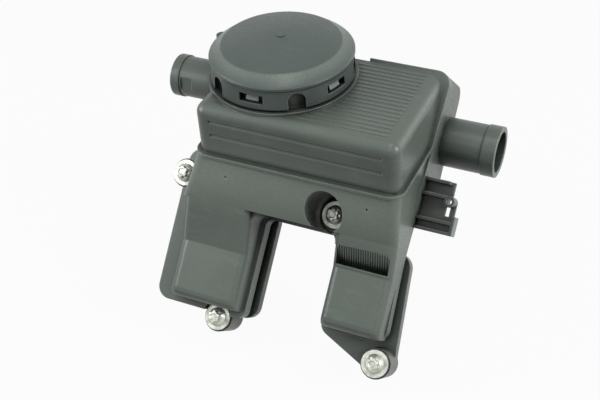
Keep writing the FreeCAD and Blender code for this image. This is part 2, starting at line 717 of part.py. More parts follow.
def valve_spring():
    """Coil spring round the seat tube, from the tower's floor to the valve plate."""
    low = SPRING_GAP + SPRING_WIRE_R
    high = valve_plate_low() - SPRING_GAP - SPRING_WIRE_R
    helix = Part.makeHelix((high - low) / SPRING_TURNS, high - low, SPRING_R)
    section = Part.Wire(Part.makeCircle(SPRING_WIRE_R, Vector(SPRING_R, 0, 0), Vector(0, 1, 0)))
    coil = Part.Wire(helix).makePipeShell([section], True, True)
    coil.translate(Vector(0, 0, low))
    return in_cap(coil)


def tray_solid(inset, mouth):
    """Deep tray behind the box, or its inside."""
    left = TRAY_LEFT + inset
    right = TRAY_RIGHT - inset
    depth = TRAY_DEPTH - inset
    radius = TRAY_ROUND - inset
    stations = list(reversed(rounded_end(TRAY_TOP - inset, 1, radius, left, right, depth)))
    stations += rounded_end(TRAY_BOTTOM + inset, -1, radius, left, right, depth)
    return in_leg(pan(stations, radius, mouth, 1))


def tray_opening():
    """Opening through the rear flange into the deep tray, a ledge smaller than the tray."""
    inset = WALL + TRAY_LEDGE
    corners = [(TRAY_LEFT + inset, TRAY_TOP - inset), (TRAY_RIGHT - inset, TRAY_TOP - inset),
               (TRAY_RIGHT - inset, TRAY_BOTTOM + inset), (TRAY_LEFT + inset, TRAY_BOTTOM + inset)]
    return in_leg(leg_plate(corners, [TRAY_ROUND - TRAY_LEDGE] * 4, -CUT_OVER, FLANGE_T + CUT_OVER))


def leg_tray(left, right, top, end, inset, mouth, back):
    """Shallow channel behind a leg, or its inside."""
    corners = [(left + inset, end + inset), (right - inset, end + inset), (right - inset, top - inset),
               (left + inset, top - inset)]
    return in_leg(leg_plate(corners, [PAN_ROUND - inset] * 4, mouth, back))


def right_plate_outline():
    """Right mounting plate: its lower edge slants down to run round the bolt's boss."""
    x, z = BOLTS["lower_right"]
    slant = math.radians(RIGHT_PLATE_SLANT)
    edge = z - BOSS_R / math.cos(slant)
    low_left = edge - math.tan(slant) * (RIGHT_PLATE_LEFT - x)
    low_right = edge - math.tan(slant) * BOSS_R
    corners = [(RIGHT_PLATE_LEFT, RIGHT_PLATE_TOP), (RIGHT_PLATE_RIGHT, RIGHT_PLATE_TOP),
               (x + BOSS_R, low_right), (RIGHT_PLATE_LEFT, low_left)]
    return corners, [PLATE_ROUND, PLATE_ROUND, BOSS_R, PLATE_ROUND]


def left_plate_outline():
    corners = [(LEFT_PLATE_LEFT, LEFT_PLATE_TOP), (LEFT_PLATE_RIGHT, LEFT_PLATE_TOP),
               (LEFT_PLATE_RIGHT, LEFT_PLATE_END), (LEFT_PLATE_LEFT, LEFT_PLATE_END)]
    return corners, [PLATE_ROUND] * 4


def port_box(side):
    """Left, right, top and bottom of a leg's port in the mounting plane."""
    if side == "left":
        return (LEFT_PLATE_LEFT + PORT_INSET, LEFT_LEG_RIGHT - PORT_INSET / 2, LEFT_PLATE_TOP - PORT_INSET,
                LEFT_PLATE_END + PORT_INSET)
    return (RIGHT_LEG_LEFT + PORT_INSET / 2, RIGHT_PLATE_RIGHT - PORT_INSET, RIGHT_PLATE_TOP - PORT_INSET,
            RIGHT_LEG_END + PORT_INSET / 2)


def port_plate(side, grow, y_from, y_to):
    """Rounded block over a port, grown by a margin all round."""
    left, right, top, end = port_box(side)
    corners = [(left - grow, top + grow), (right + grow, top + grow), (right + grow, end - grow),
               (left - grow, end - grow)]
    return in_leg(leg_plate(corners, [PORT_ROUND + grow] * 4, y_from, y_to))


def gasket_ring(side, slack, y_from, y_to):
    """Ring round a port: the groove when slack is 0, the gasket when slack is the gap."""
    outer = port_plate(side, GASKET_OUT + GASKET_W - slack, y_from, y_to)
    return outer.cut(port_plate(side, GASKET_OUT + slack, y_from, y_to))


def gasket(side):
    return gasket_ring(side, GASKET_GAP, MOUNT_Y - GROOVE_Y, MOUNT_Y + GASKET_PROUD)


def clip_bracket():
    """Clip on the rear shell's right: a web with shelves, an eyelet and a hooked end."""
    root = FLANGE_RIGHT_KNEE - FLANGE_T
    web_end = CLIP_WEB_Y + CLIP_T
    parts = [Part.makeBox(CLIP_END - root, CLIP_T, CLIP_TOP - CLIP_BOTTOM + CLIP_T,
                          Vector(root, CLIP_WEB_Y, CLIP_BOTTOM))]
    ends = {CLIP_TOP: CLIP_END - CLIP_T, CLIP_RIB: CLIP_END - CLIP_T, CLIP_SHELF: CLIP_SHELF_END,
            CLIP_BOTTOM: CLIP_SHELF_END}
    for level, end in ends.items():
        parts.append(Part.makeBox(end - root, web_end, CLIP_T, Vector(root, 0, level)))
    parts.append(leg_pin(CLIP_END, EYELET_Z, EYELET_R, 0, web_end))
    hook_h = CLIP_SHELF + CLIP_HOLE_H - CLIP_BOTTOM
    parts.append(Part.makeBox(CLIP_T, web_end, hook_h, Vector(CLIP_SHELF_END - CLIP_T, 0, CLIP_BOTTOM)))
    parts.append(Part.makeBox(CLIP_SHELF_END - CLIP_END + CLIP_T, CLIP_T, hook_h,
                              Vector(CLIP_END - CLIP_T, CLIP_WEB_Y, CLIP_BOTTOM)))
    parts.append(Part.makeBox(EYELET_R + CLIP_T, CLIP_T, EYELET_Z - CLIP_BOTTOM,
                              Vector(CLIP_END - CLIP_T, CLIP_WEB_Y, CLIP_BOTTOM)))
    solid = fuse(parts)
    hole = Part.makeBox(CLIP_HOLE_W, web_end * 2, CLIP_HOLE_H,
                        Vector(CLIP_END - CLIP_HOLE_W, 0, CLIP_HOLE_Z - CLIP_HOLE_H / 2))
    eye = leg_pin(CLIP_END, EYELET_Z, EYELET_BORE_R, -CUT_OVER, web_end + CUT_OVER)
    return in_leg(cut(solid, [hole, eye]))


def right_stub(radius, start, end):
    place = Vector(start, RIGHT_STUB_Y, RIGHT_STUB_Z)
    return in_leg(Part.makeCylinder(radius, end - start, place, Vector(1, 0, 0)))


def rear_shell():
    corners, radii = flange_outline()
    flange = in_leg(leg_plate(corners, radii, 0, FLANGE_T))
    plate_y = MOUNT_Y - MOUNT_PLATE_T
    legs = [(LEFT_LEG_LEFT, LEFT_LEG_RIGHT, TRAY_BOTTOM, LEFT_LEG_END),
            (RIGHT_LEG_LEFT, BOX_RIGHT, TRAY_BOTTOM, RIGHT_LEG_END),
            (LEFT_LEG_LEFT, BOX_RIGHT, TRAY_BOTTOM + PLATE_ROUND, SHOULDER_END)]
    outer = [flange, tray_solid(0, 0), clip_bracket()]
    outer += [leg_tray(*leg, LEG_TRAY_INSET, 0, plate_y) for leg in legs]
    for outline in (left_plate_outline(), right_plate_outline()):
        outer.append(in_leg(leg_plate(*outline, plate_y, MOUNT_Y)))
    for x, z in BOLTS.values():
        outer.append(in_leg(leg_pin(x, z, BOSS_R, 0, MOUNT_Y)))
    outer.append(right_stub(RIGHT_STUB_R, TRAY_RIGHT - WALL, RIGHT_STUB_END))
    outer.append(right_stub(RIGHT_STUB_R + STUB_BEAD_H, RIGHT_STUB_END - RIGHT_BEAD_L, RIGHT_STUB_END))
    solid = fuse(outer)
    bosses = [in_leg(leg_pin(x, z, BOSS_R, -CUT_OVER, MOUNT_Y)) for x, z in BOLTS.values()]
    hollow = LEG_TRAY_INSET + WALL
    inner = [tray_solid(WALL, FLANGE_T), tray_opening()]
    inner += [leg_tray(*leg, hollow, -CUT_OVER, plate_y - WALL) for leg in legs]
    inner = [cut(piece, bosses) for piece in inner]
    for side in ("left", "right"):
        inner.append(port_plate(side, 0, plate_y - WALL - CUT_OVER, MOUNT_Y + CUT_OVER))
        inner.append(gasket_ring(side, 0, MOUNT_Y - GROOVE_Y, MOUNT_Y + CUT_OVER))
    for x, z in BOLTS.values():
        inner.append(in_leg(leg_pin(x, z, SLEEVE_R + SLEEVE_GAP, -CUT_OVER, MOUNT_Y + CUT_OVER)))
    inner.append(right_stub(RIGHT_STUB_BORE_R, TRAY_RIGHT - 4 * WALL, RIGHT_STUB_END + CUT_OVER))
    return cut(solid, inner)


def sleeve(x, z):
    outer = leg_pin(x, z, SLEEVE_R, -SLEEVE_PROUD, MOUNT_Y)
    return in_leg(outer.cut(leg_pin(x, z, SLEEVE_BORE_R, -SLEEVE_PROUD, MOUNT_Y)))


def washer(x, z):
    back = -SLEEVE_PROUD
    outer = leg_pin(x, z, WASHER_R, back - WASHER_T, back)
    return in_leg(outer.cut(leg_pin(x, z, SLEEVE_BORE_R, back - WASHER_T, back)))


def bolt(x, z):
    """Captive flange bolt: lobed head, waisted shank and a threaded end past the mounting plane."""
    seat = SLEEVE_PROUD + WASHER_T + BOLT_GAP
    shank_l = MOUNT_Y + seat
    cone_top = HEAD_FLANGE_T * 2
    profile = [Vector(0, 0, 0), Vector(HEAD_FLANGE_R, 0, 0), Vector(HEAD_FLANGE_R, 0, HEAD_FLANGE_T / 2),
               Vector(HEAD_R, 0, cone_top), Vector(0, 0, cone_top), Vector(0, 0, 0)]
    flange = about_cap(Part.Face(Part.makePolygon(profile)))
    head = Part.makeCylinder(HEAD_R, HEAD_H - HEAD_FLANGE_T, Vector(0, 0, HEAD_FLANGE_T))
    rim = [edge for edge in head.Edges if len(edge.Vertexes) == 1 and edge.CenterOfMass.z > cone_top]
    head = head.makeChamfer(HEAD_DISH, rim)
    tools = [Part.makeCone(HEAD_DISH_R * 0.8, HEAD_DISH_R, HEAD_DISH, Vector(0, 0, HEAD_H - HEAD_DISH))]
    for i in range(HEAD_LOBES):
        angle = math.radians(i * 360.0 / HEAD_LOBES)
        place = Vector(HEAD_R * math.cos(angle), HEAD_R * math.sin(angle), cone_top)
        tools.append(Part.makeCylinder(LOBE_CUT_R, HEAD_H, place))
    head = cut(head, tools)
    shank = Part.makeCylinder(SHANK_R, shank_l, Vector(0, 0, -shank_l))
    thread = Part.makeCylinder(THREAD_R, THREAD_L, Vector(0, 0, -shank_l - THREAD_L))
    tip_end = Vector(0, 0, -shank_l - THREAD_L - HEAD_DISH)
    tip = Part.makeCone(THREAD_R - HEAD_DISH, THREAD_R, HEAD_DISH, tip_end)
    solid = fuse([flange, head, shank, thread, tip])
    place = Placement(Vector(x, -seat, z), Rotation(Vector(1, 0, 0), 90))
    return in_leg(solid.transformed(place.toMatrix()))


def baffle_plate():
    """Perforated plate that lies on the rear flange's ledge, inside the front opening."""
    left = BOX_LEFT + WALL + BAFFLE_GAP
    right = BOX_RIGHT - WALL - BAFFLE_GAP
    top = TRAY_TOP - WALL - BAFFLE_GAP
    end = TRAY_BOTTOM + WALL + BAFFLE_GAP
    corners = [(left, top), (right, top), (right, end), (left, end)]
    plate = leg_plate(corners, [PAN_ROUND] * 4, -BAFFLE_T, 0)
    columns = int((right - left) / BAFFLE_PITCH) - 1
    rows = int((top - end) / BAFFLE_PITCH) - 1
    holes = []
    for i in range(columns):
        for j in range(rows):
            x = (left + right) / 2 + (i - (columns - 1) / 2) * BAFFLE_PITCH
            z = (top + end) / 2 + (j - (rows - 1) / 2) * BAFFLE_PITCH
            holes.append(leg_pin(x, z, BAFFLE_HOLE_R, -BAFFLE_T - CUT_OVER, CUT_OVER))
    return in_leg(cut(plate, holes))


def all_parts():
    parts = {
        "front_shell": front_shell(),
        "rear_shell": rear_shell(),
        "valve_cap": valve_cap(),
        "valve_diaphragm": valve_diaphragm(),
        "valve_plate": valve_plate(),
        "valve_spring": valve_spring(),
        "baffle_plate": baffle_plate(),
        "gasket_left": gasket("left"),
        "gasket_right": gasket("right"),
    }
    for name, (x, z) in BOLTS.items():
        parts["bolt_" + name] = bolt(x, z)
        parts["washer_" + name] = washer(x, z)
        parts["sleeve_" + name] = sleeve(x, z)
    return parts


os.makedirs("parts", exist_ok=True)
for node, shape in all_parts().items():
    shape.exportStep("parts/" + node + ".step")
    print(node, "solids", len(shape.Solids), "valid", shape.isValid(), "volume", round(shape.Volume))
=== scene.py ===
# %% [markdown]
# # Oil separator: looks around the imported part
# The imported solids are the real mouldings, so they stay as they are and this lesson dresses them: first the
# camera and the light of the photograph, then one finish for each material, then the small pieces that a
# moulded and bolted part shows close up.

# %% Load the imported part
import json
import math

import bpy
import numpy as np
from mathutils import Matrix, Vector


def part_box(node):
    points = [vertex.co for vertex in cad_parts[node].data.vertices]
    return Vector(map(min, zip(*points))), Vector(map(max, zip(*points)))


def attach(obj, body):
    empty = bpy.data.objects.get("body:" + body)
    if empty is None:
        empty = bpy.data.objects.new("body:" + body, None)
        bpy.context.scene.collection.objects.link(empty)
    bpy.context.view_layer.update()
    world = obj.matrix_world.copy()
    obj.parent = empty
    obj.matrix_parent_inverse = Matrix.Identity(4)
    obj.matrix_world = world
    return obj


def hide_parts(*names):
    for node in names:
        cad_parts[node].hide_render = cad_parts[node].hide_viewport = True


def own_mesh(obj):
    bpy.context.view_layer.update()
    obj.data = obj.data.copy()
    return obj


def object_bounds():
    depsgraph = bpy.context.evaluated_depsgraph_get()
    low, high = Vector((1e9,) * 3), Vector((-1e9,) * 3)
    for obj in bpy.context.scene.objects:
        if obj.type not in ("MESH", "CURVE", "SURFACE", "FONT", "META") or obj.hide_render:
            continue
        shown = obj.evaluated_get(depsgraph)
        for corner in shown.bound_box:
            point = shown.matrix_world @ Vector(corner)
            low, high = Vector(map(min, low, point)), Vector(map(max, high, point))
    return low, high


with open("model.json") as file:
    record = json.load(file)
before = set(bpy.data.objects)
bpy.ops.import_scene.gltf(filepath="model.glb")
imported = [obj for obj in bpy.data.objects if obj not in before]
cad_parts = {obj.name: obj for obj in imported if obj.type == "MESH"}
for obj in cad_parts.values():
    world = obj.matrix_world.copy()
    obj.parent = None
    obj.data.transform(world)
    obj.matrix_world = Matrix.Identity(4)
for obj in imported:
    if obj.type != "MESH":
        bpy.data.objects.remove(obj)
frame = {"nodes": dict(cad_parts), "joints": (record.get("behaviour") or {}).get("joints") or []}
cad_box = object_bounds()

MM = 0.001
nodes = frame["nodes"]
print("nodes", len(nodes), "box", [round(v, 4) for v in cad_box[1] - cad_box[0]])

# %% [markdown]
# ## The frames of the object
# The valve cap stands upright, and the mounting face leans back from it. Sizes are easiest to read along the
# lean, so a short helper turns leg coordinates (x to the right, y into the engine, z up the face) into the
# frame's own metres. A second one does the same for the cap, whose axis is plainly upright.

# %% Frames
LEAN = math.radians(42.0)
ORIGIN_LEG = np.array([46.0, 18.0, -77.8])
CAP_AXIS = np.array([-46.0, 17.8737, 88.5967])
LEG_TURN = np.array([[1, 0, 0],
                     [0, math.cos(LEAN), math.sin(LEAN)],
                     [0, -math.sin(LEAN), math.cos(LEAN)]])


def from_leg(points):
    """Leg millimetres to frame metres: take the origin off, then turn about X by the lean."""
    return (np.asarray(points, float) - ORIGIN_LEG) @ LEG_TURN.T * MM


def from_cap(points):
    """Cap millimetres to frame metres: a plain shift to the cap axis at the level of the box's top."""
    return (np.asarray(points, float) + CAP_AXIS) * MM


print("cap axis", from_cap([0, 0, 0]).round(4), "centre bolt", from_leg(ORIGIN_LEG).round(4))

# %% [markdown]
# ## Camera
# A lens of 63 mm on a 36 mm sensor gives the photograph's perspective. The viewing angle is written as
# azimuth, elevation and roll, and the camera's own axes follow from them, so no aiming helper is needed.

# %% Camera
AZIMUTH = math.radians(27.08)
ELEVATION = math.radians(38.69)
ROLL = math.radians(-4.12)
ASIDE_MM = (-10.22, -78.48)
DISTANCE_MM = 657.45
LENS_MM = 63.0
SENSOR_MM = 36.0
NEAR_M = 0.01


def camera_axes():
    """Right, up and back of the camera: back from azimuth and elevation, the others turned by the roll."""
    back = np.array([math.sin(AZIMUTH) * math.cos(ELEVATION), -math.cos(AZIMUTH) * math.cos(ELEVATION),
                     math.sin(ELEVATION)])
    level = np.array([math.cos(AZIMUTH), math.sin(AZIMUTH), 0])
    upright = np.cross(back, level)
    right = math.cos(ROLL) * level + math.sin(ROLL) * upright
    up = -math.sin(ROLL) * level + math.cos(ROLL) * upright
    return right, up, back


right, up, back = camera_axes()
place = from_cap(-ASIDE_MM[0] * right + ASIDE_MM[1] * up + DISTANCE_MM * back)
camera_data = bpy.data.cameras.new("camera")
camera_data.lens = LENS_MM
camera_data.sensor_width = SENSOR_MM
camera_data.clip_start = NEAR_M
camera = bpy.data.objects.new("camera", camera_data)
camera.matrix_world = Matrix(np.vstack([np.column_stack([right, up, back, place]), [0, 0, 0, 1]]).tolist())
bpy.context.scene.collection.objects.link(camera)
bpy.context.scene.camera = camera
print("camera at", place.round(4))

# %% [markdown]
# ## Shader nodes in few words
# Each finish below is a small tree of shader nodes. A few helpers keep them short: one makes an empty
# material, one adds a node, sets its plain values, joins its links and gives the node back, and the others
# are the two sums that every finish needs, plain arithmetic and a smooth step.

# %% Helpers for shader nodes


def new_material(name):
    """A material with only its output node: gives the material, its tree and the surface socket."""
    material = bpy.data.materials.new(name)
    material.use_nodes = True
    tree = material.node_tree
    tree.nodes.clear()
    return material, tree, tree.nodes.new("ShaderNodeOutputMaterial").inputs["Surface"]


def add(tree, kind, links=None, settings=None, **values):
    """One shader node: settings go on the node, values on its sockets, links join other nodes' outputs."""
    node = tree.nodes.new("ShaderNode" + kind)
    for key, value in (settings or {}).items():
        setattr(node, key, value)
    for key, value in values.items():
        node.inputs[key.replace("_", " ")].default_value = value
    for key, source in (links or {}).items():
        tree.links.new(source, node.inputs[key])
    return node


def math_node(tree, operation, *terms):
    """Arithmetic on up to three terms, each a number or another node's output."""
    node = tree.nodes.new("ShaderNodeMath")
    node.operation = operation
    for socket, term in zip(node.inputs, terms):
        if isinstance(term, (int, float)):
            socket.default_value = term
        else:
            tree.links.new(term, socket)
    return node.outputs[0]


def ramp(tree, source, low, high, out_low=0.0, out_high=1.0):
    """Smooth step: out_low at low, out_high at high, an S-curve between, level beyond."""
    node = add(tree, "MapRange", {"Value": source}, {"interpolation_type": "SMOOTHSTEP"})
    for key, value in {"From Min": low, "From Max": high, "To Min": out_low, "To Max": out_high}.items():
        node.inputs[key].default_value = value
    return node.outputs["Result"]


print("helpers", [helper.__name__ for helper in (new_material, add, math_node, ramp)])

# %% [markdown]
# ## Floor and surroundings
# The photograph is a product shot on white. The floor is a wide pale sheet that turns white for the camera
# and for mirror-like metal, and still takes a faint shadow. The world does the same: it lights the part only
# dimly, so that undersides stay dark, and looks white.

# %% Floor and world
WHITE = (1.0, 1.0, 1.0, 1.0)
FLOOR_GREY = (0.4, 0.4, 0.4, 1.0)
FLOOR_SPAN = 6.0
FLOOR_DROP = 0.0005
SHADOW_SHARE = 0.05
SKY_LIGHT = 0.05


def seen_directly(tree):
    """1 for rays that the camera, a mirror or glass sends, 0 for light that lands on the object."""
    path = add(tree, "LightPath").outputs
    mirror = math_node(tree, "MAXIMUM", path["Is Camera Ray"], path["Is Glossy Ray"])
    return math_node(tree, "MAXIMUM", mirror, path["Is Transmission Ray"])


def floor_sheet():
    """Flat square just below the lowest point of the part."""
    half = FLOOR_SPAN / 2
    level = cad_box[0].z - FLOOR_DROP
    corners = [[-half, -half, level], [half, -half, level], [half, half, level], [-half, half, level]]
    mesh = bpy.data.meshes.new("floor")
    mesh.from_pydata(corners, [], [[0, 1, 2, 3]])
    material, tree, surface = new_material("floor_white")
    matt = add(tree, "BsdfDiffuse", Color=FLOOR_GREY)
    glow = add(tree, "Emission", Color=WHITE, Strength=1.0)
    share = math_node(tree, "MULTIPLY", seen_directly(tree), 1 - SHADOW_SHARE)
    mix = add(tree, "MixShader", {0: share, 1: matt.outputs[0], 2: glow.outputs[0]})
    tree.links.new(mix.outputs[0], surface)
    mesh.materials.append(material)
    floor = bpy.data.objects.new("floor", mesh)
    bpy.context.scene.collection.objects.link(floor)


def studio_world():
    """Dim white light from all round, which the camera and mirrors see as plain white."""
    world = bpy.data.worlds.new("studio")
    world.use_nodes = True
    tree = world.node_tree
    tree.nodes.clear()
    dim = add(tree, "Background", Color=WHITE, Strength=SKY_LIGHT)
    bright = add(tree, "Background", Color=WHITE, Strength=1.0)
    sky = add(tree, "MixShader", {0: seen_directly(tree), 1: dim.outputs[0], 2: bright.outputs[0]})
    tree.links.new(sky.outputs[0], tree.nodes.new("ShaderNodeOutputWorld").inputs["Surface"])
    return world


floor_sheet()
bpy.context.scene.world = studio_world()
bpy.context.scene.view_settings.view_transform = "Standard"
print("floor at", round(cad_box[0].z - FLOOR_DROP, 4))

# %% [markdown]
# ## Panels of light
# A studio lights dark plastic with a few soft boxes, because their reflections draw its edges. One stands
# close at the left, so its light fades towards the right as in the photograph. One at the right lifts the
# side walls, weaker ones hang overhead and high at the front, and a low one behind keeps the back readable.
# Each is written as its place from the middle of the part and its side, both in metres, and its watts.

# %% Panels of light
middle = (cad_box[0] + cad_box[1]) / 2
PANELS = {
    "panel_left": ((-0.58, -0.3, 0.32), 0.36, 3.6),
    "panel_right": ((1.1, -0.05, 0.6), 0.35, 12.0),
    "panel_top": ((0.1, -0.15, 1.2), 0.35, 4.0),
    "panel_front": ((0.1, -0.8, 0.9), 0.4, 2.0),
    "panel_back": ((0.6, 0.9, 0.15), 0.5, 1.6),
}


def light_panel(name, offset, size, watts):
    """Square soft light that faces the middle of the part."""
    data = bpy.data.lights.new(name, "AREA")
    data.size = size
    data.energy = watts
    lamp = bpy.data.objects.new(name, data)
    lamp.location = middle + Vector(offset)
    lamp.rotation_mode = "QUATERNION"
    lamp.rotation_quaternion = (-Vector(offset)).to_track_quat("-Z", "Y")
    bpy.context.scene.collection.objects.link(lamp)


for name, (offset, size, watts) in PANELS.items():
    light_panel(name, offset, size, watts)
print("lights", list(PANELS))

# %% [markdown]
# ## What a plastic skin is made of
# Noise, rounded corners and dust are what tell a moulding from a drawing, so each is a helper of its own. The
# bevel normal rounds the sharp corners of the solids as the mould would, and where it departs from the true
# normal there is an edge. Faces that look up, and a little more those turned right, get dust and painted light.

# %% Parts of a skin
RAY_SAMPLES = 6
EDGE_COSINES = (0.995, 0.9)
# Direction of the painted light and of the dust: up and a little to the right.
LIGHT_AND_DUST_FROM = (0.4, -0.05, 0.91)
LIGHT_AND_DUST_COSINES = (-0.1, 0.75)
MIX_FIRST, MIX_SECOND, MIX_RESULT = 6, 7, 2  # places of the colour sockets on a Mix node


def noise(tree, where, size_mm, detail, stretch=None):
    """Cloud of that grain size; stretch draws it out along an axis."""
    if stretch:
        where = add(tree, "Mapping", {"Vector": where}, Scale=stretch).outputs[0]
    cloud = add(tree, "TexNoise", {"Vector": where}, Scale=1 / (size_mm * MM), Detail=detail)
    return cloud.outputs["Fac"]


def rounded_edges(tree, radius_mm):
    """Normal that rounds corners to a radius, and a mask of where it departs from the true one."""
    corner = add(tree, "Bevel", settings={"samples": RAY_SAMPLES}, Radius=radius_mm * MM).outputs[0]
    true = add(tree, "NewGeometry").outputs["True Normal"]
    along = add(tree, "VectorMath", {0: corner, 1: true}, {"operation": "DOT_PRODUCT"}).outputs["Value"]
    return corner, ramp(tree, along, *EDGE_COSINES)


def mixed(tree, share, first, second):
    """Colour that goes from the first to the second; each is a colour or another node's output."""
    node = add(tree, "Mix", {"Factor": share}, {"data_type": "RGBA"})
    for socket, colour in ((node.inputs[MIX_FIRST], first), (node.inputs[MIX_SECOND], second)):
        if isinstance(colour, tuple):
            socket.default_value = (*colour, 1.0)
        else:
            tree.links.new(colour, socket)
    return node.outputs[MIX_RESULT]


def shade(colour, factor):
    """Colour times a factor."""
    return tuple(part * factor for part in colour)


def dust_and_painted_light(tree):
    """1 on faces turned up and a little right, where dust falls from and the painted light comes from, 0 on
    those turned away.
    """
    normal = add(tree, "NewGeometry").outputs["Normal"]
    toward = add(tree, "VectorMath", {0: normal}, {"operation": "DOT_PRODUCT"})
    toward.inputs[1].default_value = LIGHT_AND_DUST_FROM
    return ramp(tree, toward.outputs["Value"], *LIGHT_AND_DUST_COSINES)


print("skin helpers", [helper.__name__ for helper in (noise, rounded_edges, mixed, shade, dust_and_painted_light)])

# %% [markdown]
# ## Moulded plastic
# The housing is glass-filled black plastic with a fine spark-eroded grain. Up close it is not one grey: the
# skin is cloudy, dusty on top, scuffed and rubbed paler at the edges, and the grain scatters the highlight.
# Light
# is painted in as well: side faces turned from the light and the creases get painted shade, and open edges a
# painted highlight. A flat colour would look like a drawing, so each of these is one layer of tone over the
# layer before, with its own scale, shade and share.

# %% Moulded plastic
# Painted shade on faces turned away from the light.
PAINTED_SIDE_SHADE = 0.6
CLOUD_MM, CLOUD_DETAIL, CLOUD_BAND, CLOUD_SHADE, CLOUD_SHARE = 26.0, 4.0, (0.3, 0.7), 1.25, 0.3
SCUFF_MM, SCUFF_DETAIL, SCUFF_BAND, SCUFF_SHADE, SCUFF_SHARE = 5.0, 6.0, (0.56, 0.75), 1.7, 0.2
SCUFF_STRETCH = (0.3, 1.0, 1.0)
# Painted shade in creases and hollows, from ambient occlusion at two reaches.
CREASE_SHADE_REACHES_MM, CREASE_SHADE_BAND, PAINTED_CREASE_SHADE, PAINTED_CREASE_SHARE = (32.0, 4.5), (0.3, 0.95), 0.1, 0.92
# Edge wear and painted highlight along the open edges.
EDGE_HIGHLIGHT_BAND, EDGE_HIGHLIGHT_SHADE, EDGE_HIGHLIGHT_SHARE = (0.7, 0.95), 2.6, 0.75
SPECKLE_MM, SPECKLE_BAND, SPECKLE_SHADE, SPECKLE_SHARE = 1.4, (0.35, 0.65), 0.5, 0.15
GRAIN_MM, GRAIN_STRENGTH, FINE_DETAIL = 0.55, 0.5, 3.0
GLOSS_BAND, GLOSS_SWING = (0.3, 0.7), 0.07


def worn_and_shaded_tone(tree, where, colour, marks):
    """Layers of tone: dust with painted light, marks at their places, clouds, scuffs, then painted shade in
    wide and narrow creases.
    """
    # Dust and painted light: faces turned away from up and right are painted darker, to six tenths of the
    # colour, as if in shade.
    tone = mixed(tree, dust_and_painted_light(tree), shade(colour, PAINTED_SIDE_SHADE), colour)
    if marks:
        tone = marks(tree, where, tone)
    cloud = ramp(tree, noise(tree, where, CLOUD_MM, CLOUD_DETAIL), *CLOUD_BAND, 0.0, CLOUD_SHARE)
    tone = mixed(tree, cloud, tone, shade(colour, CLOUD_SHADE))
    scuff = noise(tree, where, SCUFF_MM, SCUFF_DETAIL, SCUFF_STRETCH)
    tone = mixed(tree, ramp(tree, scuff, *SCUFF_BAND, 0.0, SCUFF_SHARE), tone, shade(colour, SCUFF_SHADE))
    # Painted shade: where little sky is open, in creases, hollows and between parts, the colour is painted down
    # to a tenth.
    for reach_mm in CREASE_SHADE_REACHES_MM:
        sky = add(tree, "AmbientOcclusion", settings={"samples": RAY_SAMPLES}, Distance=reach_mm * MM)
        open_sky = sky.outputs["AO"]
        tone = mixed(tree, ramp(tree, open_sky, *CREASE_SHADE_BAND, PAINTED_CREASE_SHARE, 0.0), tone, shade(colour, PAINTED_CREASE_SHADE))
    return tone, open_sky


def moulded_plastic(name, colour, rough, shine, edge_mm=0.7, grain_depth_mm=0.06, marks=None):
    """Dark plastic: worn tone with painted shade, rubbed edges with a painted highlight where the sky is open,
    speckled gloss, fine grain as bump.
    """
    material, tree, surface = new_material(name)
    where = add(tree, "TexCoord").outputs["Object"]
    tone, open_sky = worn_and_shaded_tone(tree, where, colour, marks)
    corner, edge = rounded_edges(tree, edge_mm)
    # Edge wear and painted highlight: edges open to the sky are painted up to 2.6 times lighter.
    edge = math_node(tree, "MULTIPLY", edge, ramp(tree, open_sky, *EDGE_HIGHLIGHT_BAND, 0.0, EDGE_HIGHLIGHT_SHARE))
    tone = mixed(tree, edge, tone, shade(colour, EDGE_HIGHLIGHT_SHADE))
    speckle = noise(tree, where, SPECKLE_MM, FINE_DETAIL)
    dark = ramp(tree, speckle, *SPECKLE_BAND, 0.0, SPECKLE_SHARE)
    tone = mixed(tree, dark, tone, shade(colour, SPECKLE_SHADE))
    gloss = ramp(tree, speckle, *GLOSS_BAND, rough - GLOSS_SWING, rough + GLOSS_SWING)
    grain = noise(tree, where, GRAIN_MM, FINE_DETAIL)
    bump = add(tree, "Bump", {"Height": grain, "Normal": corner}, Strength=GRAIN_STRENGTH,
               Distance=grain_depth_mm * MM)
    skin = add(tree, "BsdfPrincipled", {"Base Color": tone, "Roughness": gloss, "Normal": bump.outputs[0]})
    skin.inputs["Specular IOR Level"].default_value = shine
    tree.links.new(skin.outputs[0], surface)
    return material


print("painted_shade reaches", CREASE_SHADE_REACHES_MM, "mm, grain", GRAIN_MM, "mm")

# %% [markdown]
# ## Marks by the leg frame
# Some details belong to places, not to noise. The shoulder gets a painted pale sheen, which stands in for the
# studio light reflected on it. Ejector pins left a faint ring round each of their marks. The weld between the
# shells shows as a thin dark line round the flange, at the weld plane. Each is a mask worked out from a
# distance along the legs, in Object coordinates, so it stays on the part in every view.

# %% Marks by the leg frame
# Painted sheen: levels along the legs and tone of the paler band on the shoulder.
SHEEN_LEVELS_MM = (-98.0, -70.0, -46.0)
PAINTED_SHEEN_TONE = (0.150, 0.178, 0.152)
PIN_MARKS_MM = ((-17.5, -71.0), (76.5, -70.2))
PIN_RING_MM = (1.7, 2.3)
PIN_RING_TONE = (0.165, 0.19, 0.165)
SEAM_MM = (0.35, 0.35 / 3)
WELD_DARK = (0.02, 0.024, 0.022)


def metres(values_mm):
    """Millimetres to metres, one by one."""
    return [value * MM for value in values_mm]


def between(tree, source, low, high):
    """1 between two values, 0 outside."""
    return math_node(tree, "MULTIPLY", math_node(tree, "GREATER_THAN", source, low),
                     math_node(tree, "LESS_THAN", source, high))


def peak(tree, source, low, full, high):
    """Rises smoothly from 0 at low to 1 at full and falls to 0 at high."""
    return math_node(tree, "MULTIPLY", ramp(tree, source, low, full), ramp(tree, source, high, full))


def offset_from(tree, where, point):
    """Object coordinates measured from a point of the frame."""
    shift = add(tree, "VectorMath", {0: where}, {"operation": "SUBTRACT"})
    shift.inputs[1].default_value = point
    return shift.outputs[0]


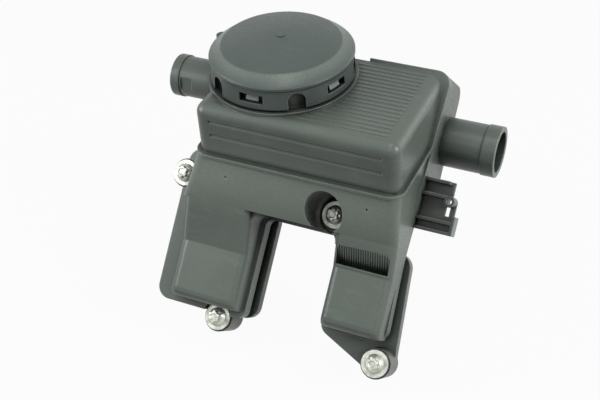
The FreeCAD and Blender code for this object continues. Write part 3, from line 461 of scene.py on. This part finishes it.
def flat_distance(tree, across, along):
    """Length of two offsets at right angles."""
    flat = add(tree, "CombineXYZ", {"X": across, "Y": along}).outputs[0]
    return add(tree, "VectorMath", {0: flat}, {"operation": "LENGTH"}).outputs["Value"]


def leg_marks(tree, where, tone):
    """Painted sheen on the shoulder, rings round the pin marks, dark line at the weld plane."""
    shift = offset_from(tree, where, from_leg([0, 0, 0]))
    aside = add(tree, "SeparateXYZ", {0: shift}).outputs["X"]
    along_axes = []
    for axis in (LEG_TURN[:, 1], LEG_TURN[:, 2]):
        measure = add(tree, "VectorMath", {0: shift}, {"operation": "DOT_PRODUCT"})
        measure.inputs[1].default_value = axis
        along_axes.append(measure.outputs["Value"])
    depth, rise = along_axes
    # Painted sheen: the shoulder band is painted paler where the studio light reflects.
    tone = mixed(tree, peak(tree, rise, *metres(SHEEN_LEVELS_MM)), tone, PAINTED_SHEEN_TONE)
    for mark_x, mark_z in PIN_MARKS_MM:
        reach = flat_distance(tree, math_node(tree, "SUBTRACT", aside, mark_x * MM),
                              math_node(tree, "SUBTRACT", rise, mark_z * MM))
        tone = mixed(tree, between(tree, reach, *metres(PIN_RING_MM)), tone, PIN_RING_TONE)
    off_plane = math_node(tree, "ABSOLUTE", depth)
    return mixed(tree, ramp(tree, off_plane, *metres(SEAM_MM)), tone, WELD_DARK)


print("marks: painted_sheen, weld line and", len(PIN_MARKS_MM), "pin rings")

# %% [markdown]
# ## Marks by the cap axis
# The catches that hold the cap are painted bright, a painted highlight for the light their slanted faces
# reflect. On the cap itself the slope round the disc is painted paler, a painted sheen, most at the disc's
# edge.
# Both follow from the distance to the cap axis and the height above the box.

# %% Marks by the cap axis
# Painted highlight on the catches: tone, and the reach and levels where it is painted.
CATCH_PAINTED_HIGHLIGHT = (0.34, 0.36, 0.33)
CATCH_REACH_MM = (41.3, 44.6)
CATCH_LEVELS_MM = (7.2, 12.4)
# Painted sheen on the cap's slope: radii, rim levels and tone.
CAP_RING_MM = (36.9, 38.3, 46.0)
CAP_RIM_LEVELS_MM = (18.2, 19.2)
CAP_PAINTED_SHEEN = (0.150, 0.176, 0.155)


def from_axis(tree, where):
    """Distance from the cap axis, and height above the box's top, in metres."""
    parts = add(tree, "SeparateXYZ", {0: offset_from(tree, where, from_cap([0, 0, 0]))}).outputs
    return flat_distance(tree, parts["X"], parts["Y"]), parts["Z"]


def housing_marks(tree, where, tone):
    """Marks by the leg frame, then a painted highlight on the catches inside the cap's windows."""
    tone = leg_marks(tree, where, tone)
    radius, height = from_axis(tree, where)
    reach = between(tree, radius, *metres(CATCH_REACH_MM))
    level = between(tree, height, *metres(CATCH_LEVELS_MM))
    # Painted highlight: the catches are painted light grey where their slanted faces would reflect the lamps.
    return mixed(tree, math_node(tree, "MULTIPLY", reach, level), tone, CATCH_PAINTED_HIGHLIGHT)


def cap_marks(tree, where, tone):
    """Painted sheen: a paler ring on the slope between the disc and the rim, fading outwards."""
    radius, height = from_axis(tree, where)
    ring = peak(tree, radius, *metres(CAP_RING_MM))
    upper = ramp(tree, height, *metres(CAP_RIM_LEVELS_MM))
    # Painted sheen: the slope ring is painted paler where the overhead light reflects.
    return mixed(tree, math_node(tree, "MULTIPLY", ring, upper), tone, CAP_PAINTED_SHEEN)


housing = moulded_plastic("housing_plastic", (0.096, 0.116, 0.100), rough=0.36, shine=0.4, edge_mm=0.9,
                          marks=housing_marks)
cap_skin = moulded_plastic("cap_plastic", (0.080, 0.099, 0.091), rough=0.36, shine=0.22, grain_depth_mm=0.03,
                           marks=cap_marks)
inner = moulded_plastic("inner_plastic", (0.16, 0.16, 0.155), rough=0.45, shine=0.3, grain_depth_mm=0.02)
rubber = moulded_plastic("rubber", (0.03, 0.03, 0.03), rough=0.75, shine=0.2, edge_mm=0.3,
                         grain_depth_mm=0.02)
print("plastics", housing.name, cap_skin.name, inner.name, rubber.name)

# %% [markdown]
# ## Zinc-plated steel
# The bolts and washers are zinc plated: a bright metal, clouded grey where the plating has dulled, with fine
# marks from turning and stamping. Clean chrome would be wrong, so the tone and the gloss both wander, and
# darker stains gather in patches. The sleeves and the spring are the same steel with other tones.

# %% Metals
STAIN_MM, STAIN_DETAIL, STAIN_BAND, STAIN_SHADE = 4.5, 5.0, (0.35, 0.62), 0.7
DULLER, SHINIER = 0.14, 0.05
TURNING_MM, TURNING_DETAIL, TURNING_STRENGTH, TURNING_DEPTH_MM = 0.38, 2.0, 0.25, 0.02
METAL_EDGE_MM = 0.3


def plated_steel(name, colour, rough):
    """Full metal: cloudy tone with darker stains, gloss that wanders with it, hairline bump."""
    material, tree, surface = new_material(name)
    where = add(tree, "TexCoord").outputs["Object"]
    cloud = noise(tree, where, STAIN_MM, STAIN_DETAIL)
    tone = mixed(tree, ramp(tree, cloud, *STAIN_BAND), shade(colour, STAIN_SHADE), colour)
    gloss = ramp(tree, cloud, *GLOSS_BAND, rough + DULLER, rough - SHINIER)
    corner = rounded_edges(tree, METAL_EDGE_MM)[0]
    turning = noise(tree, where, TURNING_MM, TURNING_DETAIL)
    bump = add(tree, "Bump", {"Height": turning, "Normal": corner}, Strength=TURNING_STRENGTH,
               Distance=TURNING_DEPTH_MM * MM)
    skin = add(tree, "BsdfPrincipled", {"Base Color": tone, "Roughness": gloss, "Normal": bump.outputs[0]},
               Metallic=1.0)
    tree.links.new(skin.outputs[0], surface)
    return material


zinc = plated_steel("zinc_steel", (0.54, 0.56, 0.50), rough=0.5)
sleeve_steel = plated_steel("sleeve_steel", (0.56, 0.56, 0.55), rough=0.38)
spring_steel = plated_steel("spring_steel", (0.5, 0.5, 0.51), rough=0.3)
print("metals", zinc.name, sleeve_steel.name, spring_steel.name)

# %% [markdown]
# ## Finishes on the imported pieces
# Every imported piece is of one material, so one finish goes on its whole mesh. The pieces that come in fours
# are told by the first word of their name.

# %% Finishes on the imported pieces
FINISHES = {"front_shell": housing, "rear_shell": housing, "valve_cap": cap_skin, "valve_diaphragm": rubber,
            "valve_plate": inner, "valve_spring": spring_steel, "baffle_plate": inner,
            "gasket_left": rubber, "gasket_right": rubber}
BY_KIND = {"bolt": zinc, "washer": zinc, "sleeve": sleeve_steel}
for name, node in nodes.items():
    node.data.materials.clear()
    node.data.materials.append(FINISHES.get(name) or BY_KIND[name.split("_")[0]])
print("finished", len(nodes), "nodes")

# %% [markdown]
# ## Surfaces from grids
# A turned or swept piece is a grid of points: one row for each step along it, one column for each step round
# it. Whole arrays give the points, rows of indices give the faces, and a fan shuts each end. The sign of the
# volume tells whether the faces point outwards, and turns them if they don't.

# %% Mesh from a grid
CREASE = math.radians(32.0)


def closed_grid(name, points, material):
    """Mesh of a grid, rows by columns: columns close on themselves, end rows are shut by fans."""
    rows, columns = points.shape[:2]
    index = np.arange(rows * columns).reshape(rows, columns)
    after = np.roll(index, -1, axis=1)
    walls = np.stack([index[:-1], after[:-1], after[1:], index[1:]], axis=-1).reshape(-1, 4)
    first, last = rows * columns, rows * columns + 1
    near = np.stack([np.full(columns, first), after[0], index[0]], axis=-1)
    far = np.stack([np.full(columns, last), index[-1], after[-1]], axis=-1)
    ends = points[[0, -1]].mean(axis=1)
    corners = np.vstack([points.reshape(-1, 3), ends])
    triangles = np.vstack([walls[:, [0, 1, 2]], walls[:, [0, 2, 3]], near, far])
    a, b, c = (corners[triangles[:, k]] for k in range(3))
    step = 1 if np.einsum("ij,ij->", a, np.cross(b, c)) > 0 else -1
    mesh = bpy.data.meshes.new(name)
    faces = walls[:, ::step].tolist() + near[:, ::step].tolist() + far[:, ::step].tolist()
    mesh.from_pydata(corners.tolist(), [], faces)
    mesh.shade_smooth()
    mesh.set_sharp_from_angle(angle=CREASE)
    mesh.materials.append(material)
    piece = bpy.data.objects.new(name, mesh)
    bpy.context.scene.collection.objects.link(piece)
    return piece


print("edges over", round(math.degrees(CREASE)), "degrees stay sharp")

# %% [markdown]
# ## Shape of a bolt
# Each captive bolt is a cold-headed M6 screw: a six-lobed head with a dished top, a cone-shaped flange forged
# on with it, a waisted shank that lets it hang in its sleeve, and a rolled thread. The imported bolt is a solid
# of the same size with plain cut lobes and no thread, which would make it heavy, so rounded lobes and the
# helix are drawn here. Along the bolt the radius follows a profile, whose heights are measured from the
# mounting plane.

# %% Profile of a bolt
SEAT_MM = 20.2
HEAD_MM = 6.2
HEAD_TOP_MM = SEAT_MM + HEAD_MM
HEAD_R_MM = 4.1
FLANGE_MM = 2.8
HEAD_FOOT_MM = SEAT_MM + FLANGE_MM
DISH_R_MM = 2.4
DISH_MM = 0.6
DISH_STEPS = (0.4, 0.75)
CHAMFER_MM = 0.6
CHAMFER_STEP_MM = 0.18
FLANGE_R_MM = 6.2
FLANGE_EDGE_MM = 0.7
FLANGE_ROUND_MM = 0.2
WAIST_R_MM = 2.6
THREAD_R_MM = 3.0
THREAD_END_MM = -16.5
PITCH_MM = 1.0
THREAD_DEPTH_MM = 0.5
STEPS_PER_PITCH = 10


def bolt_profile():
    """Rows along the bolt: height above the mounting plane, radius, share of lobes and share of thread."""
    head = [(HEAD_TOP_MM - DISH_MM, step * DISH_R_MM, 0, 0) for step in DISH_STEPS]
    head += [(HEAD_TOP_MM, DISH_R_MM, 0, 0), (HEAD_TOP_MM, HEAD_R_MM - CHAMFER_MM, 1, 0),
             (HEAD_TOP_MM - CHAMFER_STEP_MM, HEAD_R_MM - CHAMFER_STEP_MM, 1, 0),
             (HEAD_TOP_MM - CHAMFER_MM, HEAD_R_MM, 1, 0), (HEAD_FOOT_MM + CHAMFER_MM / 2, HEAD_R_MM, 1, 0),
             (HEAD_FOOT_MM, HEAD_R_MM + CHAMFER_MM / 2, 0, 0)]
    flange = [(SEAT_MM + FLANGE_EDGE_MM, FLANGE_R_MM - FLANGE_ROUND_MM, 0, 0),
              (SEAT_MM + FLANGE_EDGE_MM / 2, FLANGE_R_MM, 0, 0),
              (SEAT_MM, FLANGE_R_MM - FLANGE_ROUND_MM, 0, 0)]
    shank = [(SEAT_MM, WAIST_R_MM, 0, 0), (PITCH_MM, WAIST_R_MM, 0, 0)]
    height = np.arange(0.0, THREAD_END_MM, -PITCH_MM / STEPS_PER_PITCH)
    taper = np.clip((height - THREAD_END_MM) / PITCH_MM, 0.0, 1.0)
    radius = THREAD_R_MM - (1 - taper) * THREAD_DEPTH_MM
    thread = np.column_stack([height, radius, np.zeros_like(height), taper])
    return np.vstack([head, flange, shank, thread])


print("bolt profile", bolt_profile().shape[0], "rows")

# %% [markdown]
# ## Bolts on their joints
# Round the bolt, the head's radius falls away into six flutes a turn, and the thread's falls by a saw-tooth
# that moves on one pitch a turn. Each bolt stands on the axis of its own joint in the frame, so it turns with
# that joint and takes the place of the plain solid.

# %% Bolts
LOBES = 6
LOBE_DEPTH_MM = 0.85
FLUTE_POWER = 1.5
ROUND_STEPS = 72


def bolt_grid(seat, axis):
    """Points of a bolt on an axis: radius = profile less flutes less a saw-tooth of height and angle."""
    height, radius, lobes, thread = (column[:, None] for column in bolt_profile().T)
    turn = np.linspace(0, 2 * math.pi, ROUND_STEPS, endpoint=False)[None, :]
    flute = LOBE_DEPTH_MM * (0.5 - 0.5 * np.cos(LOBES * turn)) ** FLUTE_POWER
    phase = (height / PITCH_MM + turn / (2 * math.pi)) % 1.0
    groove = THREAD_DEPTH_MM * (1 - np.abs(2 * phase - 1))
    reach = radius - lobes * flute - thread * groove
    axis = np.asarray(axis) / np.linalg.norm(axis)
    side = np.cross(axis, [1.0, 0.0, 0.0])
    side /= np.linalg.norm(side)
    other = np.cross(axis, side)
    out = np.cos(turn)[..., None] * side + np.sin(turn)[..., None] * other
    return np.asarray(seat) + (height[..., None] * axis + reach[..., None] * out) * MM


for joint in frame["joints"]:
    if joint["type"] == "hinge":
        body = joint["child"]
        points = bolt_grid(joint["pos_m"], joint["axis"])
        bolt = closed_grid(body + "_threaded", points, zinc)
        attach(bolt, body)
        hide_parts(body)
        print(bolt.name, "grid", points.shape[:2])

# %% [markdown]
# ## Valve spring
# Under the valve plate stands a coil of thin steel wire, wound cold on a mandrel. When suction pulls the
# plate down, the coil shortens. Here its wire is a tube along a helix: the
# centre line goes round the cap axis while it rises, and each row is a circle across the wire. The coil
# stays at its full length, fixed to the housing.

# %% Valve spring
WIRE_R_MM = 0.7
COIL_TURNS = 4
COIL_STEPS = 40
WIRE_STEPS = 12


def coil_grid(low, high):
    """Points of a coil that fills a box: a circle of the wire's radius carried along a rising helix."""
    wire = WIRE_R_MM * MM
    centre = (low + high) / 2
    reach = (high[0] - low[0]) / 2 - wire
    rise = high[2] - low[2] - 2 * wire
    turn = np.linspace(0, 2 * math.pi * COIL_TURNS, COIL_TURNS * COIL_STEPS + 1)[:, None]
    outward = np.concatenate([np.cos(turn), np.sin(turn), np.zeros_like(turn)], axis=1)
    forward = np.concatenate([-np.sin(turn), np.cos(turn),
                              np.full_like(turn, rise / (2 * math.pi * COIL_TURNS * reach))], axis=1)
    forward /= np.linalg.norm(forward, axis=1, keepdims=True)
    across = np.cross(outward, forward)
    line = reach * outward + np.array([centre[0], centre[1], low[2] + wire])
    line[:, 2] += rise * turn[:, 0] / turn[-1, 0]
    around = np.linspace(0, 2 * math.pi, WIRE_STEPS, endpoint=False)[None, :, None]
    return line[:, None] + wire * (np.cos(around) * outward[:, None] + np.sin(around) * across[:, None])


spring_low, spring_high = (np.array(corner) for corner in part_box("valve_spring"))
coil = closed_grid("valve_spring_coil", coil_grid(spring_low, spring_high), spring_steel)
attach(coil, "housing")
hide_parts("valve_spring")
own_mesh(coil)
